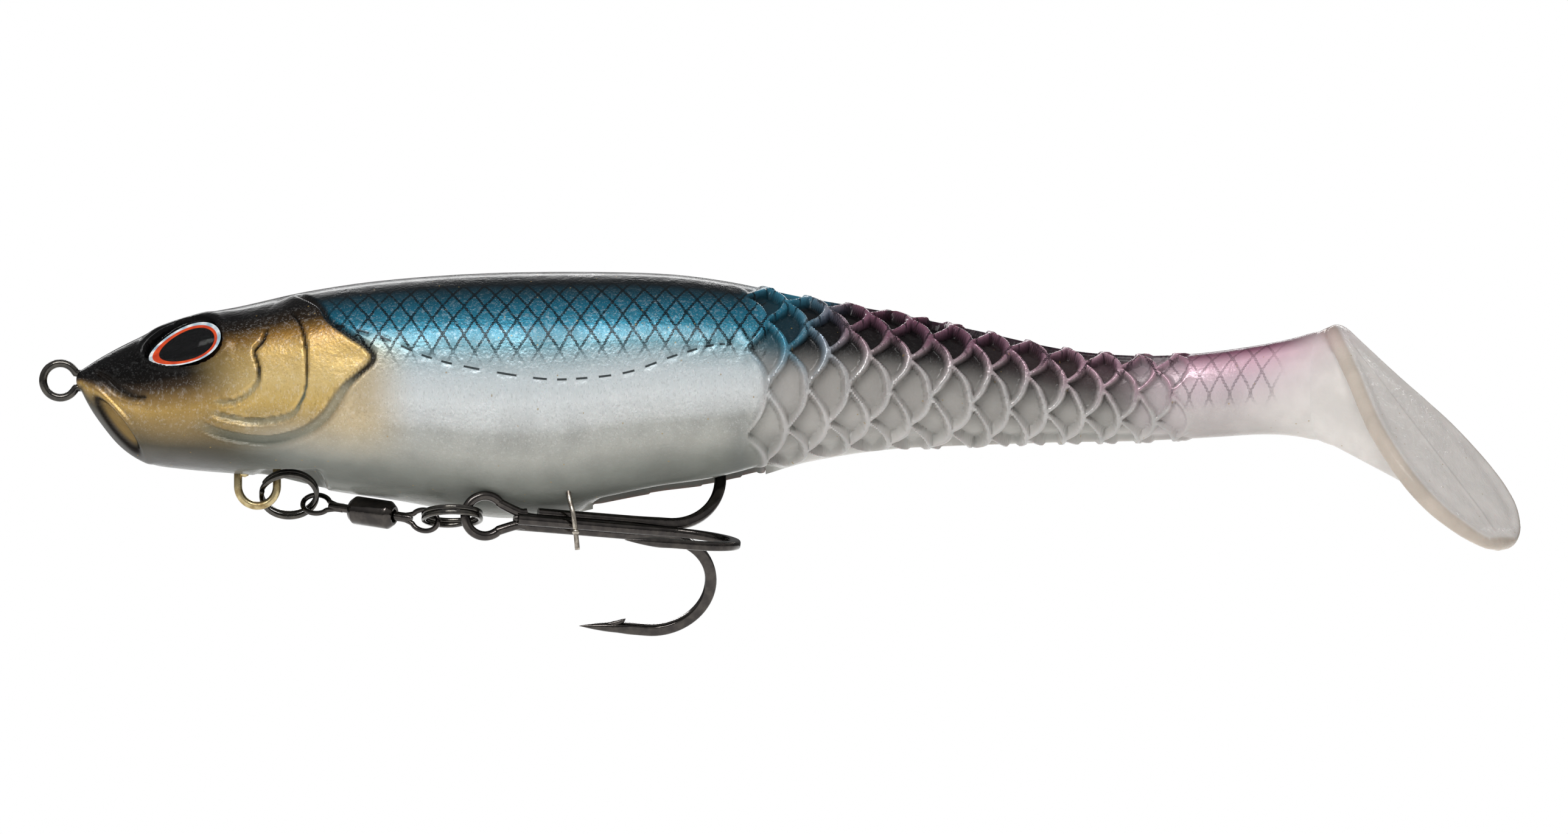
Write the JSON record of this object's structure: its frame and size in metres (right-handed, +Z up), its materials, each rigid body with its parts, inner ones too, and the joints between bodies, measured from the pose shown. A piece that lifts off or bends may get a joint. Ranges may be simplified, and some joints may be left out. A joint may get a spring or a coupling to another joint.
{
  "type": "swimbait",
  "caption": "Soft fish-shaped fishing lure with a side-leaning paddle tail, a wire line tie, and a treble hook on a split-ring and barrel-swivel rig, parked in a slot in the belly.",
  "frame": {"origin": "centre of the hole of the line-tie ring on the nose", "axes": "+X from the nose to the tail along the straight part of the body, +Z up from belly to back, -Y is the fish's left side, towards which the tail leans"},
  "size_m": [0.2063, 0.0439, 0.0505],
  "materials": {
    "soft_body": "glossy soft plastic, painted and translucent",
    "clear_tail": "glossy translucent soft plastic",
    "eye_foil": "printed foil",
    "eye_dome": "clear gloss",
    "ballast": "cast lead",
    "dark_nickel": "polished black nickel",
    "pale_brass": "satin",
    "hook_steel": "black nickel, satin",
    "stainless": "polished"
  },
  "bodies": {
    "body": {"head_and_torso": "soft_body", "line_tie_wire": "dark_nickel", "belly_eye_wire": "pale_brass", "ballast_weight": "ballast", "eye_foil_left": "eye_foil", "eye_dome_left": "eye_dome", "eye_foil_right": "eye_foil", "eye_dome_right": "eye_dome"},
    "tail_1": {"tail_segment_1": "soft_body"},
    "tail_2": {"tail_segment_2": "soft_body"},
    "tail_3": {"tail_segment_3": "soft_body"},
    "tail_4": {"tail_segment_4": "soft_body"},
    "wrist": {"tail_wrist": "soft_body"},
    "paddle": {"tail_paddle": "clear_tail"},
    "ring_front": {"split_ring_front": "dark_nickel"},
    "swivel_front": {"swivel_front_eye": "dark_nickel"},
    "barrel": {"swivel_barrel": "dark_nickel"},
    "swivel_rear": {"swivel_rear_eye": "dark_nickel"},
    "ring_rear": {"split_ring_rear": "dark_nickel"},
    "treble": {"treble_double_hook": "hook_steel", "treble_third_hook": "hook_steel", "hook_pin": "stainless"}
  },
  "joints": [
    {"name": "tail_bend_1", "type": "hinge", "parent": "body", "child": "tail_1", "pos_m": [0.103, 0, 0], "axis": [0, 0, 1], "range_deg": [-9, 9], "stiffness_Nm_per_rad": 0.2},
    {"name": "tail_bend_2", "type": "hinge", "parent": "tail_1", "child": "tail_2", "pos_m": [0.115, 0, 0], "axis": [0, 0, 1], "range_deg": [-9, 9], "stiffness_Nm_per_rad": 0.12},
    {"name": "tail_bend_3", "type": "hinge", "parent": "tail_2", "child": "tail_3", "pos_m": [0.127, 0, 0], "axis": [0, 0, 1], "range_deg": [-9, 9], "stiffness_Nm_per_rad": 0.06},
    {"name": "tail_bend_4", "type": "hinge", "parent": "tail_3", "child": "tail_4", "pos_m": [0.139, 0, 0], "axis": [0, 0, 1], "range_deg": [-9, 9], "stiffness_Nm_per_rad": 0.03},
    {"name": "tail_bend_5", "type": "hinge", "parent": "tail_4", "child": "wrist", "pos_m": [0.151, -0.00046, 0], "axis": [0, 0, 1], "range_deg": [-9, 9], "stiffness_Nm_per_rad": 0.015},
    {"name": "paddle_kick", "type": "hinge", "parent": "wrist", "child": "paddle", "pos_m": [0.169, -0.00603, 0], "axis": [0, 0, 1], "range_deg": [-22, 22], "stiffness_Nm_per_rad": 0.006},
    {"name": "ring_front_swing", "type": "hinge", "parent": "body", "child": "ring_front", "pos_m": [0.02811, 0, -0.01499], "axis": [0, 1, 0], "range_deg": [0, 30]},
    {"name": "swivel_front_swing", "type": "hinge", "parent": "ring_front", "child": "swivel_front", "pos_m": [0.03536, 0.00165, -0.01689], "axis": [0, 1, 0], "range_deg": [0, 25]},
    {"name": "barrel_spin", "type": "hinge", "parent": "swivel_front", "child": "barrel", "pos_m": [0.0434, -0.0022, -0.01835], "axis": [0.8968, -0.4215, -0.1345], "continuous": true},
    {"name": "swivel_rear_turn", "type": "hinge", "parent": "swivel_front", "child": "swivel_rear", "pos_m": [0.0434, -0.0022, -0.01835], "axis": [0.8968, -0.4215, -0.1345], "range_deg": [-1, 3]},
    {"name": "ring_rear_swing", "type": "hinge", "parent": "swivel_rear", "child": "ring_rear", "pos_m": [0.05121, -0.00601, -0.0194], "axis": [0, 1, 0], "range_deg": [0, 20]},
    {"name": "treble_drop", "type": "hinge", "parent": "ring_rear", "child": "treble", "pos_m": [0.05833, -0.00893, -0.01867], "axis": [0, 1, 0], "range_deg": [0, 60]}
  ],
  "couplings": [
    {"joint": "tail_bend_2", "follows": "tail_bend_1", "ratio": 1},
    {"joint": "tail_bend_3", "follows": "tail_bend_1", "ratio": 1},
    {"joint": "tail_bend_4", "follows": "tail_bend_1", "ratio": 1},
    {"joint": "tail_bend_5", "follows": "tail_bend_1", "ratio": 1}
  ]
}
